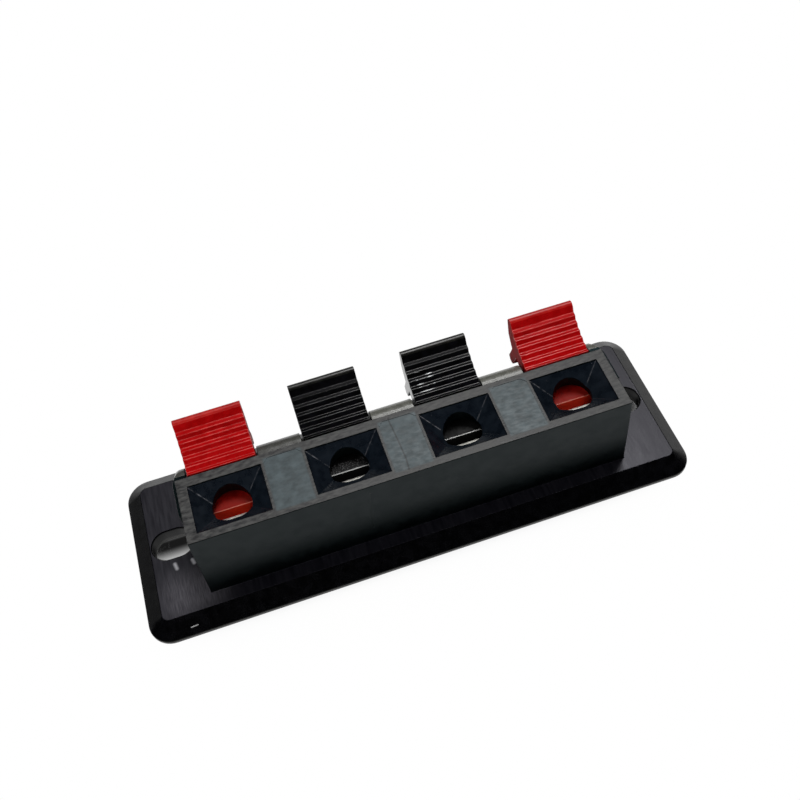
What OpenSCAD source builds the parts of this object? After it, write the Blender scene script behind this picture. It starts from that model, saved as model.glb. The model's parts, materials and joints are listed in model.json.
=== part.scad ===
// Push-lever speaker terminal plate. A moulded housing with a flange carries a row of sprung levers.
// Each lever rocks on its trunnions and clamps a bare wire between its nose and a contact strip.
// +X runs along the row, +Y towards the levers and +Z out of the panel. The origin lies midway
// between the two screw slots, on the face that meets the panel.

/* [Flange] */
// Length of each end of the flange beyond the block
ear_l = 12.4; // [11.6:0.1:20]
// Width of the flange at the panel
flange_w = 33; // [32:0.5:45]
// Offset of the flange from the screw line
flange_y = -0.5; // [-1:0.1:0.5]
// Corner radius of the flange at the panel
flange_r = 4.2; // [3.8:0.1:8]
// Height of the flange's flat above the panel
flange_h = 3.2; // [2.8:0.1:4.5]
// Height of the upright edge below the bevel
lip_h = 0.8; // [0.4:0.1:1.4]
// Width of the bevel
bevel_w = 3; // [1:0.1:3.6]
// Depth of the hollow under the flange
hollow_h = 1.2; // [0.4:0.1:1.6]
// Width of the rim round the hollow
rim_w = 2.2; // [1.5:0.1:3]

/* [Screw slots] */
// Distance from the end of the block to the middle of a slot
slot_out = 5.3; // [5.2:0.1:9]
// Width of a slot
slot_w = 5.5; // [3.5:0.1:6]
// Length of a slot
slot_l = 7.4; // [6.5:0.1:8.2]
// Chamfer round a slot's top
slot_chamfer = 0.25; // [0.1:0.05:0.5]
// Wall round a slot under the flange
slot_wall = 1.6; // [1:0.1:2]

/* [Block] */
// Distance between neighbouring terminals
pitch = 20; // [19:0.5:30]
// Height of the block above the panel
block_h = 20.35; // [19.5:0.05:26]
// Front edge of the block's top, ahead of the wire holes
block_front = 6; // [5.6:0.1:9]
// Back edge of the block's top, behind the wire holes
block_back = 6.3; // [5.7:0.1:7]
// Draft of the block's walls, from its top to the flange
draft = 0.6; // [0:0.1:1]
// Thickness of the walls
wall = 1.8; // [1.4:0.1:2.2]
// Thickness of the roof over the levers
roof_t = 3.35; // [3.1:0.05:4]
// Depth of the smooth panels between the funnels
panel_depth = 0.08; // [0.04:0.01:0.4]
// Margin between a panel and its neighbours
panel_gap = 0.5; // [0.2:0.1:1]
// Cut corners of a panel
panel_corner = 0.9; // [0.2:0.1:2]

/* [Wire entry] */
// Middle of the wire holes, from the screw line
hole_y = -5.05; // [-6:0.05:-4.5]
// Radius of a wire hole
hole_r = 3.3; // [2:0.1:3.8]
// Length of a funnel along the row
funnel_l = 12.4; // [8:0.1:14]
// Width of a funnel across the row
funnel_w = 8.9; // [7.8:0.1:10]
// Depth of the upright rim round a funnel
funnel_step = 0.25; // [0.1:0.05:0.5]
// Slope of a funnel's faces, as depth over run
funnel_slope = 0.7; // [0.6:0.02:0.8]
// Half width of the funnel where it ends inside the wire hole
funnel_flat = 0.5; // [0.2:0.1:1]

/* [Rear shoulder] */
// Step down from the block's top to the shoulder
step_h = 0.9; // [0.4:0.1:1.5]
// Flat of the shoulder behind the block
shoulder_run = 1.1; // [0.5:0.1:2]
// Rounding of the shoulder
shoulder_r = 2.5; // [1.5:0.1:3.5]
// Angle of the rear wall to the panel
rear_angle = 64; // [58:1:70]
// Rounding of the shoulder's ends
end_r = 2.2; // [1:0.1:3]

/* [Levers] */
// Width of a lever
lever_w = 11.7; // [9:0.1:12.5]
// Gap between a lever and the window it comes out of
lever_gap = 0.35; // [0.2:0.05:0.6]
// Swing of a lever from closed to fully pressed
press_angle = 20; // [16:1:22]
// Place of the trunnion axis, from the screw line
pivot_y = -1.5; // [-2:0.1:-1]
// Height of the trunnion axis above the panel
pivot_z = 5.5; // [5:0.1:6.5]
// Radius of a trunnion
trunnion_r = 1.5; // [1:0.1:1.8]
// Drop from the trunnion axis to the tips of the saddle under it
saddle_drop = 0.75; // [0.5:0.05:0.9]
// Length of a trunnion beyond the lever's side
trunnion_l = 1.3; // [0.8:0.1:1.5]
// End clearance of a trunnion in its bearing
trunnion_end = 0.15; // [0.1:0.05:0.3]
// Running clearance round a trunnion
pin_gap = 0.05; // [0.02:0.01:0.1]
// Radius of the lever round its trunnions
hub_r = 2.6; // [2.2:0.1:3]
// Back face of the lever's arm, behind the trunnion axis
arm_back = 3; // [2.6:0.1:3.4]
// Front face of the lever's arm, ahead of the trunnion axis
arm_front = 1.6; // [1:0.1:2.2]
// Gap between the lever's nose and the contact
nose_gap = 0.3; // [0.2:0.05:0.6]
// Ridge of the nose, behind the middle of the wire hole
ridge_back = 0.75; // [0.4:0.05:1.2]
// Drop from the ceiling to the ridge of the nose
ridge_drop = 1.1; // [1:0.1:1.6]
// Height of the chamfer that guides the wire past the nose
nose_h = 2.3; // [1.5:0.1:3]
// Thickness of the nose below its chamfer
nose_t = 2.2; // [1.5:0.1:3]
// Drop from the ceiling to the foot of the neck's front face
neck_drop = 0.5; // [0.4:0.05:0.8]
// Thickness of the neck that passes through the window
neck_t = 2.7; // [2.2:0.1:3]
// Reach of the neck behind the block
neck_l = 3.05; // [2.6:0.05:3.4]
// Reach of the tab's back behind the neck
tab_reach = 5.2; // [4.6:0.1:5.6]
// Rise of the tab's back above the neck
tab_rise = 3.2; // [2.6:0.1:3.6]
// Reach of the tab's root behind the neck
root_reach = 3.35; // [3.2:0.05:3.6]
// Rise of the tab's root above the neck
root_rise = 1; // [0.6:0.1:1.4]
// Radius of the hollow of the thumb pad, halfway up its ridges
pad_r = 11.2; // [10:0.1:14]
// Angle of the lowest ridge of the thumb pad
pad_a0 = -84; // [-85:0.5:-82]
// Angle at which the ridges end
pad_a1 = -45.5; // [-48:0.1:-43]
// Angle at which the pad runs into its rolled lip
roll_a = -38.9; // [-41:0.1:-38]
// Number of ridges on the thumb pad
teeth = 6; // [4:1:8]
// Share of a ridge that is its front face
riser_share = 0.58; // [0.5:0.02:0.8]
// Height of a ridge
tooth_h = 0.4; // [0.2:0.05:0.6]
// Radius of the rolled lip of the thumb pad
roll_r = 0.75; // [0.5:0.05:1]
// Depth of the rolled lip's middle below the pad
roll_sink = 0.7; // [0.5:0.05:0.8]
// Radius of the bead that hangs under the thumb pad
bead_r = 1; // [0.6:0.1:1.2]
// Drop of the bead below the neck
bead_drop = 1.9; // [1.2:0.1:2.4]

/* [Contacts] */
// Thickness of the contact strip
strip_t = 0.6; // [0.4:0.05:0.8]
// Width of the contact blade
blade_w = 8; // [7.8:0.1:10]
// Rear face of the blade, ahead of the middle of the wire hole
blade_front = 0.75; // [0.5:0.05:1.2]
// Drop from the ceiling to the top of the contact
blade_drop = 0.8; // [0.6:0.1:1.2]
// Inner radius of the bend at the top of the blade
bend_in = 0.2; // [0.1:0.05:0.4]
// Clearance round the lip in its rib
lip_gap = 0.05; // [0.02:0.01:0.1]
// Length of the lip bent over at the top of the blade
lip_l = 2.2; // [1.6:0.1:2.4]
// Width of a solder lug
lug_w = 3.2; // [2.4:0.1:4]
// Reach of a solder lug behind the panel
lug_l = 5.5; // [4:0.1:10]
// Radius of the hole in a solder lug
lug_hole_r = 0.8; // [0.5:0.1:1]
// Thickness of the ribs that back a contact
rib_t = 1.2; // [0.8:0.1:1.6]
// Depth to which those ribs run into the roof
rib_root = 0.2; // [0.1:0.05:0.4]

/* [Springs] */
// Outer diameter of a coil
coil_d = 4.4; // [3.6:0.1:4.6]
// Diameter of the spring wire
wire_d = 0.5; // [0.35:0.05:0.6]
// Number of turns in a coil
turns = 5.5; // [4:0.5:6]
// Height of a coil's axis above the trunnion axis
spring_up = 3.5; // [3.4:0.1:3.8]
// Depth of the pocket for a coil in the lever
pocket_depth = 0.8; // [0.4:0.1:1.2]
// Length of the spigot inside a coil
spigot_l = 1; // [0.5:0.1:1.5]
// Clearance round a coil
coil_gap = 0.3; // [0.2:0.05:0.35]
// Lift of a coil's seat off the sloping rear wall
seat_lift = 0.1; // [0.05:0.05:0.2]

/* [Back cover] */
// Thickness of the cover
cover_t = 1.5; // [1.2:0.1:1.6]
// Drop of the cover below the panel face
cover_sink = 0.2; // [0.1:0.1:0.3]
// Clearance round the cover and what passes through it
cover_gap = 0.12; // [0.05:0.01:0.2]
// Width of the ledge that the cover seats on
ledge_w = 1.2; // [0.8:0.1:1.4]
// Radius of a heat-staked post
post_r = 1.2; // [0.8:0.1:1.4]
// Radius of the head of a post
head_r = 1.9; // [1.7:0.1:2.2]
// Recess of the head of a post in the cover
head_gap = 0.1; // [0:0.05:0.2]
// Thickness of the head of a post
head_t = 0.6; // [0.4:0.1:0.7]

/* [Hidden] */
$fn = 64;
ways = 4;
lever_colors = ["firebrick", "#1a1a1c", "#1a1a1c", "firebrick"];
// Overshoot of a cut past the face it opens
cut = 1;
// Depth to which ribs and seats run into a wall
root = wall / 2;
// Clearance between the shoulder and the form that rounds its ends
crown_gap = 0.1;

// Row and block
cell_w = lever_w + 2 * lever_gap;
row_l = (ways - 1) * pitch;
block_l = row_l + cell_w + 2 * wall;
block_y0 = hole_y - block_front;
block_y1 = hole_y + block_back;
flange_l = block_l + 2 * ear_l;
slot_x = block_l / 2 + slot_out;
partition_w = pitch - cell_w;

// Section of a cell
cell_y0 = block_y0 + wall;
ceiling_z = block_h - roof_t;
seat_z = cover_sink + cover_t;
shoulder_z = block_h - step_h;
shoulder_c = [block_y1 + shoulder_run, shoulder_z - shoulder_r];
rear_p = shoulder_c + shoulder_r * [sin(rear_angle), cos(rear_angle)];
knee_z = flange_h + wall;
function rear_y(z) = rear_p.x + (rear_p.y - z) / tan(rear_angle);
function inner_y(z) = rear_y(z) - wall / sin(rear_angle);
cell_y1 = inner_y(knee_z);

// Contact
blade_y = hole_y - blade_front;
blade_z = ceiling_z - blade_drop;
bend_r = strip_t + bend_in;

// Lever
neck_y = block_y1 + lever_gap;
neck_z = block_h - neck_t;
arm_y = pivot_y + arm_back;
spring_z = pivot_z + spring_up;
pocket_r = coil_d / 2 + coil_gap;
pad_c = [neck_y, block_h - tooth_h / 2] - pad_r * [cos(pad_a0), sin(pad_a0)];
function on_pad(a, out) = pad_c + (pad_r + out) * [cos(a), sin(a)];
roll_c = on_pad(roll_a, roll_sink);
neck_p = [neck_y + neck_l, neck_z];
arm_p = [arm_y, spring_z + pocket_r];
tab_back = neck_p + [tab_reach, tab_rise];
tab_root = neck_p + [root_reach, root_rise];
bead_c = neck_p + [root_reach, -bead_drop];
bead_root = neck_p + [root_reach - 2 * bead_r, root_rise / 2];
nose_y = blade_y + nose_gap;
ridge_z = ceiling_z - ridge_drop;
nose_z = ridge_z - nose_h;
bearing_l = trunnion_l - lever_gap + trunnion_end;
// Angles at which the tab's back leaves the rolled lip and the bead
roll_back_a = -10;
bead_a = 25;

// Sill of a lever's window, just below the arm of a fully pressed lever
function pressed(p) = let (d = p - [pivot_y, pivot_z], c = cos(press_angle), s = sin(press_angle))
    [pivot_y + d.x * c + d.y * s, pivot_z + d.y * c - d.x * s];
arm_slope = (pressed(neck_p).y - pressed(arm_p).y) / (pressed(neck_p).x - pressed(arm_p).x);
stop_y = (inner_y(0) + (arm_slope * pressed(arm_p).x - pressed(arm_p).y) / tan(rear_angle))
    / (1 + arm_slope / tan(rear_angle));
sill_z = pressed(arm_p).y + arm_slope * (stop_y - pressed(arm_p).x) - lever_gap;

// Spring
seat_y = inner_y(spring_z + pocket_r) - seat_lift;
spring_y0 = arm_y - pocket_depth;
spring_l = seat_y - spring_y0;
coil_steps = 16;
coil_sides = 6;

// Back cover
cover_l = row_l + cell_w + 2 * ledge_w - 2 * cover_gap;
cover_y0 = cell_y0 - ledge_w;
cover_y1 = cell_y1 + ledge_w;

// Copies the children to the middle of every cell
module per_cell() {
    for (i = [0:ways - 1]) translate([i * pitch - row_l / 2, 0, 0]) children();
}

// Copies the children to the middle of every partition between cells
module per_partition() {
    for (i = [1:ways - 1]) translate([(i - 0.5) * pitch - row_l / 2, 0, 0]) children();
}

// Extrudes a section drawn in Y and Z along the row, centred
module along_row(length) {
    rotate([90, 0, 90]) linear_extrude(length, center = true) children();
}

// Rounded rectangle about the origin
module rounded_plan(length, width, radius) {
    square([length - 2 * radius, width], center = true);
    square([length, width - 2 * radius], center = true);
    for (x = [-1, 1], y = [-1, 1])
        translate([x * (length / 2 - radius), y * (width / 2 - radius)]) circle(radius);
}

// Slot shape with round ends about the origin
module slot_plan(length, width) {
    square([length - width, width], center = true);
    for (x = [-1, 1]) translate([x * (length - width) / 2, 0]) circle(width / 2);
}

// Straight-sided outline that narrows from foot to top
module taper_outline(foot0, foot1, top0, top1, height) {
    polygon([[foot0, 0], [foot1, 0], [top1, height], [top0, height]]);
}

// Section through the whole flange, with its upright edges and bevels
module flange_section(half) {
    polygon([[-half, 0], [half, 0], [half, lip_h], [half - bevel_w, flange_h],
        [bevel_w - half, flange_h], [-half, lip_h]]);
}

// Flange with an upright edge, a bevel all round and a flat top
module flange_solid() {
    corner_x = flange_l / 2 - flange_r;
    corner_y = flange_w / 2 - flange_r;
    translate([0, flange_y, 0]) {
        for (x = [-1, 1], y = [-1, 1])
            translate([x * corner_x, y * corner_y, 0]) rotate_extrude()
                polygon([[0, 0], [flange_r, 0], [flange_r, lip_h], [flange_r - bevel_w, flange_h],
                    [0, flange_h]]);
        along_row(2 * corner_x) flange_section(flange_w / 2);
        rotate([90, 0, 0]) linear_extrude(2 * corner_y, center = true) flange_section(flange_l / 2);
    }
}

// Block with drafted walls
module block_solid() {
    intersection() {
        along_row(block_l + 2 * draft + cut)
            taper_outline(block_y0 - draft, block_y1 + draft, block_y0, block_y1, block_h);
        translate([0, (block_y0 + block_y1) / 2, 0])
            rotate([90, 0, 0]) linear_extrude(block_y1 - block_y0 + 2 * draft + cut, center = true)
                taper_outline(-block_l / 2 - draft, block_l / 2 + draft, -block_l / 2, block_l / 2, block_h);
    }
}

// Rear body with its round shoulder, sloping wall and rounded ends
module shoulder_solid() {
    length = block_l + 2 * draft;
    tilt = 45;
    crown = shoulder_c * [cos(tilt), sin(tilt)] + shoulder_r + crown_gap;
    intersection() {
        along_row(length + 2 * cut) {
            polygon([[hole_y, hollow_h], [hole_y, shoulder_z], [shoulder_c.x, shoulder_z], shoulder_c,
                rear_p, [rear_y(hollow_h), hollow_h]]);
            translate(shoulder_c) circle(shoulder_r);
        }
        rotate([tilt, 0, 0]) linear_extrude(2 * flange_w, center = true)
            rounded_plan(length, 2 * crown, end_r);
    }
}

// Cell for one lever, open towards the back cover
module cell_cut() {
    along_row(cell_w)
        polygon([[cell_y0, -cut], [cell_y0, ceiling_z], [inner_y(ceiling_z), ceiling_z],
            [cell_y1, knee_z], [cell_y1, -cut]]);
}

// Window in the shoulder and the rear wall that the lever comes out of
module window_cut() {
    translate([-cell_w / 2, block_y1, sill_z]) cube([cell_w, flange_w, block_h]);
}

// Section through a funnel from its foot to past its upright rim
module funnel_section(foot, mouth, depth) {
    polygon([[-foot, -depth], [foot, -depth], [mouth, 0], [mouth, funnel_step + cut],
        [-mouth, funnel_step + cut], [-mouth, 0]]);
}

// Funnel with an upright rim, four equal slopes and the wire hole below it
module funnel_cut() {
    run = funnel_w / 2 - funnel_flat;
    depth = run * funnel_slope;
    translate([0, hole_y, block_h - funnel_step]) {
        intersection() {
            along_row(funnel_l + cut) funnel_section(funnel_flat, funnel_w / 2, depth);
            rotate([90, 0, 0]) linear_extrude(funnel_w + cut, center = true)
                funnel_section(funnel_l / 2 - run, funnel_l / 2, depth);
        }
        translate([0, 0, -roof_t]) cylinder(r = hole_r, h = roof_t);
    }
}

// U-shaped bearings in the cell's side walls, open towards the back cover
module bearing_cut() {
    along_row(cell_w + 2 * bearing_l) {
        translate([pivot_y, pivot_z]) circle(trunnion_r + pin_gap);
        translate([pivot_y - trunnion_r - pin_gap, -cut])
            square([2 * (trunnion_r + pin_gap), pivot_z + cut]);
    }
}

// Hollows that keep a partition's walls even, ahead of the bearings and behind them
module partition_core() {
    web = trunnion_r + pin_gap + wall;
    along_row(partition_w - 2 * wall) {
        translate([cell_y0, -cut]) square([pivot_y - web - cell_y0, ceiling_z + cut]);
        polygon([[pivot_y + web, -cut], [pivot_y + web, ceiling_z - wall],
            [inner_y(ceiling_z - wall), ceiling_z - wall], [cell_y1, knee_z], [cell_y1, -cut]]);
    }
}

// Shallow smooth panel on the block's top between two funnels, with cut corners
module panel_cut() {
    half_l = (pitch - funnel_l) / 2 - panel_gap;
    half_w = (block_front + block_back) / 2 - 2 * panel_gap;
    near_l = half_l - panel_corner;
    near_w = half_w - panel_corner;
    translate([0, (block_y0 + block_y1) / 2, block_h - panel_depth])
        linear_extrude(cut)
            polygon([
                [-half_l, -near_w], [-near_l, -half_w], [near_l, -half_w], [half_l, -near_w],
                [half_l, near_w], [near_l, half_w], [-near_l, half_w], [-half_l, near_w]
            ]);
}

// Screw slot with a chamfer round its top
module slot_cut() {
    wide = slot_w / 2 + slot_chamfer;
    translate([0, 0, -cut]) linear_extrude(flange_h + 2 * cut) slot_plan(slot_l, slot_w);
    translate([0, 0, flange_h - slot_chamfer]) {
        for (x = [-1, 1])
            translate([x * (slot_l - slot_w) / 2, 0, 0])
                cylinder(r1 = slot_w / 2, r2 = wide, h = slot_chamfer);
        along_row(slot_l - slot_w)
            taper_outline(-slot_w / 2, slot_w / 2, -wide, wide, slot_chamfer);
    }
}

// Hollow under the flange, which leaves a rim and a wall round each screw slot
module hollow_cut() {
    translate([0, flange_y, -cut])
        linear_extrude(hollow_h + cut) difference() {
            rounded_plan(flange_l - 2 * rim_w, flange_w - 2 * rim_w, flange_r - rim_w);
            for (x = [-slot_x, slot_x]) translate([x, -flange_y])
                slot_plan(slot_l + 2 * slot_wall, slot_w + 2 * slot_wall);
        }
}

// Recess that the back cover sits in
module cover_cut() {
    translate([-cover_l / 2 - cover_gap, cover_y0 - cover_gap, -cut])
        cube([cover_l + 2 * cover_gap, cover_y1 - cover_y0 + 2 * cover_gap, seat_z + cut]);
}

// Rib behind a contact, with a slot that holds the contact's lip
module contact_rib() {
    lip_y = blade_y - lip_l - lip_gap;
    along_row(rib_t)
        polygon([
            [cell_y0 - root, seat_z], [blade_y - strip_t, seat_z],
            [blade_y - strip_t, blade_z - strip_t], [lip_y, blade_z - strip_t],
            [lip_y, blade_z + lip_gap], [lip_y + lip_l / 2, blade_z + lip_gap],
            [lip_y + lip_l / 2, ceiling_z + rib_root], [cell_y0 - root, ceiling_z + rib_root]
        ]);
}

// Seat and spigot for a coil, standing on the sloping rear wall
module spring_seat() {
    reach = cell_y1 - seat_y;
    translate([0, seat_y, spring_z]) rotate([-90, 0, 0]) {
        translate([0, 0, -spigot_l]) cylinder(r = coil_d / 2 - wire_d - coil_gap, h = spigot_l + root);
        intersection() {
            cylinder(r = pocket_r, h = reach);
            rotate([90, 0, 0]) translate([0, -seat_y, -spring_z])
                along_row(2 * pocket_r)
                    polygon([[seat_y, 0], [seat_y, ceiling_z],
                        [inner_y(ceiling_z) + root, ceiling_z], [inner_y(0) + root, 0]]);
        }
    }
}

// Heat-staked post that holds the back cover
module post() {
    translate([0, pivot_y, cover_sink + head_gap]) {
        cylinder(r = head_r, h = head_t);
        cylinder(r = post_r, h = cover_t + wall);
    }
}

module housing() {
    color("#1d1d20") {
        difference() {
            union() {
                flange_solid();
                block_solid();
                shoulder_solid();
            }
            per_cell() {
                cell_cut();
                window_cut();
                funnel_cut();
                bearing_cut();
            }
            per_partition() {
                partition_core();
                panel_cut();
            }
            for (x = [-slot_x, slot_x]) translate([x, 0, 0]) slot_cut();
            hollow_cut();
            cover_cut();
        }
        per_cell() {
            for (x = [-1, 1]) translate([x * (blade_w - rib_t) / 2, 0, 0]) contact_rib();
            spring_seat();
        }
        per_partition() post();
    }
}

// Saddle that closes a bearing from below
module saddle() {
    half_w = trunnion_r + pin_gap - cover_gap;
    along_row(bearing_l - 2 * cover_gap)
        difference() {
            translate([pivot_y - half_w, seat_z - cover_t / 2])
                square([2 * half_w, pivot_z - saddle_drop - seat_z + cover_t / 2]);
            translate([pivot_y, pivot_z]) circle(trunnion_r + pin_gap);
        }
}

module back_cover() {
    lug_slot = [lug_w + 2 * cover_gap, strip_t + 2 * cover_gap];
    color("#2a2a2c") {
        difference() {
            translate([-cover_l / 2, cover_y0, cover_sink])
                cube([cover_l, cover_y1 - cover_y0, cover_t]);
            per_cell()
                translate([0, blade_y - strip_t / 2, 0])
                    linear_extrude(seat_z + cut) square(lug_slot, center = true);
            per_partition()
                translate([0, pivot_y, 0]) {
                    cylinder(r = post_r + cover_gap, h = seat_z + cut);
                    cylinder(r = head_r + cover_gap, h = cover_sink + head_gap + head_t);
                }
        }
        per_cell()
            for (x = [-1, 1])
                translate([x * (cell_w + bearing_l) / 2, 0, 0]) saddle();
    }
}

// Outline of a lever seen along the row, with its ridged pad, nose and hub
module lever_outline() {
    step = (pad_a1 - pad_a0) / (teeth - riser_share);
    tread = step * (1 - riser_share);
    crests = [for (i = [0:teeth - 1]) pad_a0 + i * step];
    polygon([
        [neck_y, ceiling_z - neck_drop],
        for (a = crests) each [on_pad(a, -tooth_h / 2), on_pad(a + tread, tooth_h / 2)],
        on_pad(roll_a, roll_sink - roll_r),
        roll_c,
        roll_c + roll_r * [cos(roll_back_a), sin(roll_back_a)],
        tab_back,
        tab_root,
        bead_c + [bead_r * cos(bead_a), bead_r * sin(bead_a)],
        bead_c,
        bead_c - [bead_r * cos(bead_a), bead_r * sin(bead_a)],
        bead_root,
        neck_p,
        arm_p,
        [arm_y, pivot_z],
        [pivot_y - arm_front, pivot_z],
        [pivot_y - arm_front, nose_z - nose_t],
        [nose_y, nose_z - nose_t / 2],
        [nose_y, nose_z],
        [hole_y + ridge_back, ridge_z]
    ]);
    translate(roll_c) circle(roll_r);
    translate(bead_c) circle(bead_r);
    translate([pivot_y, pivot_z]) circle(hub_r);
}

module lever(i) {
    color(lever_colors[i - 1])
        translate([(i - 1) * pitch - row_l / 2, 0, 0])
            difference() {
                union() {
                    along_row(lever_w) lever_outline();
                    translate([0, pivot_y, pivot_z]) rotate([0, 90, 0])
                        cylinder(r = trunnion_r, h = lever_w + 2 * trunnion_l, center = true);
                }
                translate([0, spring_y0, spring_z]) rotate([-90, 0, 0])
                    cylinder(r = pocket_r, h = pocket_depth + cut);
            }
}

// Section of a contact: an upright blade with its top bent forwards over the ribs
module contact_section() {
    bend_c = [blade_y - bend_r, blade_z - bend_r];
    translate([blade_y - strip_t, seat_z]) square([strip_t, bend_c.y - seat_z]);
    translate([blade_y - lip_l, blade_z - strip_t]) square([lip_l - bend_r, strip_t]);
    translate(bend_c) intersection() {
        difference() {
            circle(bend_r);
            circle(bend_r - strip_t);
        }
        square(bend_r);
    }
}

module contact(i) {
    lug_top = seat_z + lug_w / 2;
    lug_end = lug_w / 2 - lug_l;
    color("silver")
        translate([(i - 1) * pitch - row_l / 2, 0, 0]) {
            along_row(blade_w) contact_section();
            translate([0, blade_y - strip_t / 2, 0]) rotate([90, 0, 0])
                linear_extrude(strip_t, center = true) difference() {
                    union() {
                        translate([-lug_w / 2, lug_end]) square([lug_w, lug_top - lug_end]);
                        translate([0, lug_end]) circle(lug_w / 2);
                    }
                    translate([0, lug_end]) circle(lug_hole_r);
                }
        }
}

// Distance along a coil's axis after a number of turns, with one closed turn at each end
function coil_rise(t) =
    let (free = spring_l - 3 * wire_d, open_turns = turns - 2)
    wire_d / 2 + min(t, 1) * wire_d + max(0, min(t - 1, open_turns)) * free / open_turns
        + max(0, t - turns + 1) * wire_d;

// Coil of round wire along +Y, swept as rings of points
module coil() {
    mean_r = (coil_d - wire_d) / 2;
    rings = turns * coil_steps;
    points = [for (i = [0:rings], k = [0:coil_sides - 1])
        let (
            a = 360 * i / coil_steps,
            b = 360 * k / coil_sides,
            r = mean_r + wire_d / 2 * cos(b)
        )
        [r * cos(a), coil_rise(i / coil_steps) + wire_d / 2 * sin(b), r * sin(a)]];
    sides = [for (i = [0:rings - 1], k = [0:coil_sides - 1])
        let (n = (k + 1) % coil_sides, p = i * coil_sides, q = p + coil_sides)
        [p + k, p + n, q + n, q + k]];
    first = [for (k = [coil_sides - 1:-1:0]) k];
    last = [for (k = [0:coil_sides - 1]) rings * coil_sides + k];
    polyhedron(points, concat(sides, [first, last]));
}

module spring(i) {
    color("lightsteelblue")
        translate([(i - 1) * pitch - row_l / 2, spring_y0, spring_z]) coil();
}

housing();
back_cover();
for (i = [1:ways]) {
    lever(i);
    contact(i);
    spring(i);
}
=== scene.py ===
"""Speaker terminal plate with four push levers: its finish, springs, stage and camera."""

import json
import math

import bmesh
import bpy
from mathutils import Matrix, Vector

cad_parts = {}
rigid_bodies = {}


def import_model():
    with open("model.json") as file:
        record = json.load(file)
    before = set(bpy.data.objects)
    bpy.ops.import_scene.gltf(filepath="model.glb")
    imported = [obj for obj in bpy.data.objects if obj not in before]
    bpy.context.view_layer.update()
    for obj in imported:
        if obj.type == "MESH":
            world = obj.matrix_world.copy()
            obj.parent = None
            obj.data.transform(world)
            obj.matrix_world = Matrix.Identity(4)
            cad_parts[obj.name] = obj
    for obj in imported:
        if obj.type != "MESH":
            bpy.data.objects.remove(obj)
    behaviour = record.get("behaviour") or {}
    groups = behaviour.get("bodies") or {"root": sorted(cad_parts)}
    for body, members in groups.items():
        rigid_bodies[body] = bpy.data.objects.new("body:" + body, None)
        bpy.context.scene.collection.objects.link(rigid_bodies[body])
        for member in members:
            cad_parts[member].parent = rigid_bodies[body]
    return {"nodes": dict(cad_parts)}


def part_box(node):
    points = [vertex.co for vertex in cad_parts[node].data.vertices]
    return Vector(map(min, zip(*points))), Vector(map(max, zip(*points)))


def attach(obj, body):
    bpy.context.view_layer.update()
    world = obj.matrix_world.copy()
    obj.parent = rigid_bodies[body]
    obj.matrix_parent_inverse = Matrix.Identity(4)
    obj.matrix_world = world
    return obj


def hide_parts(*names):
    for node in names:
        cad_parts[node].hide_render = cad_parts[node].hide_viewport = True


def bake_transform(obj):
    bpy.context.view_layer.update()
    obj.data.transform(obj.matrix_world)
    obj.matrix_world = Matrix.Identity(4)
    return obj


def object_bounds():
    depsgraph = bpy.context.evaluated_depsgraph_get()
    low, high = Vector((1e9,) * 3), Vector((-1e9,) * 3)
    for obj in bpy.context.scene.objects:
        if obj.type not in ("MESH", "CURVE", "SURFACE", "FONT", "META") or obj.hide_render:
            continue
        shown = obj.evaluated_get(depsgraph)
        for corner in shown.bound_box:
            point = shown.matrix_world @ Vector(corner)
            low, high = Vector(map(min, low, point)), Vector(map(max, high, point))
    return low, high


MM = 0.001
PITCH = 20.0
LEVER_COLOURS = {1: "red", 2: "black", 3: "black", 4: "red"}

# Places of the finishes in the housing's list and in a lever's list
TOP, FUNNEL, FLAT, BEVEL, WALL, SHOULDER = range(6)
PAD, INSIDE, SIDE, EDGE, ROLL = range(5)

# Parts of a face's unit normal that tell level, sideways, upright and steep faces
LEVEL = 0.95
SIDEWAYS = 0.9
UPRIGHT = 0.5
STEEP = 0.1

# Heights and lines of the housing, in millimetres
BLOCK_TOP = 20.35
BLOCK_FRONT = -11.05
BLOCK_REAR = 1.25
ROW_HALF = 30.0
SHOULDER_FOOT = 17.7
PANEL_DEPTH = 0.08
PANEL_MIDDLE = -4.9
PANEL_HALF = (3.3, 5.15)
HOLE_LINE = -5.05
FUNNEL_HALF_WIDTH = 4.5
FUNNEL_DEPTH = 3.4
FLANGE_FLAT = 3.2
LIP_HEIGHT = 0.8
SLOT_HALF_WIDTH = 3.3
SLOT_START = 39.5
CHAMFER_DEPTH = 0.5
NEAR = 0.1

# Limits of the hidden sides, where edges stay sharp, in millimetres
HOLLOW_TOP = 17.05
HOLLOW_HALF = 38.0
FRONT_WALL = 0.5
REAR_WALL = 1.7
REAR_TOP = (4.6, 18.05)
REAR_SLOPE = 0.488
COVER_BACK = 1.0
POCKET_TOP = 12.6
POCKET_FRONT = 1.0

# Lines of the levers and contacts, in millimetres
NOSE_RIDGE = (-4.3, 15.9)
ROLL_AXIS = (9.69, 23.82)
ROLL_RADIUS = 0.75
ROLL_REACH = 0.6
ROLL_NEAR = 0.05
CONTACT_BEND = -6.44

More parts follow.
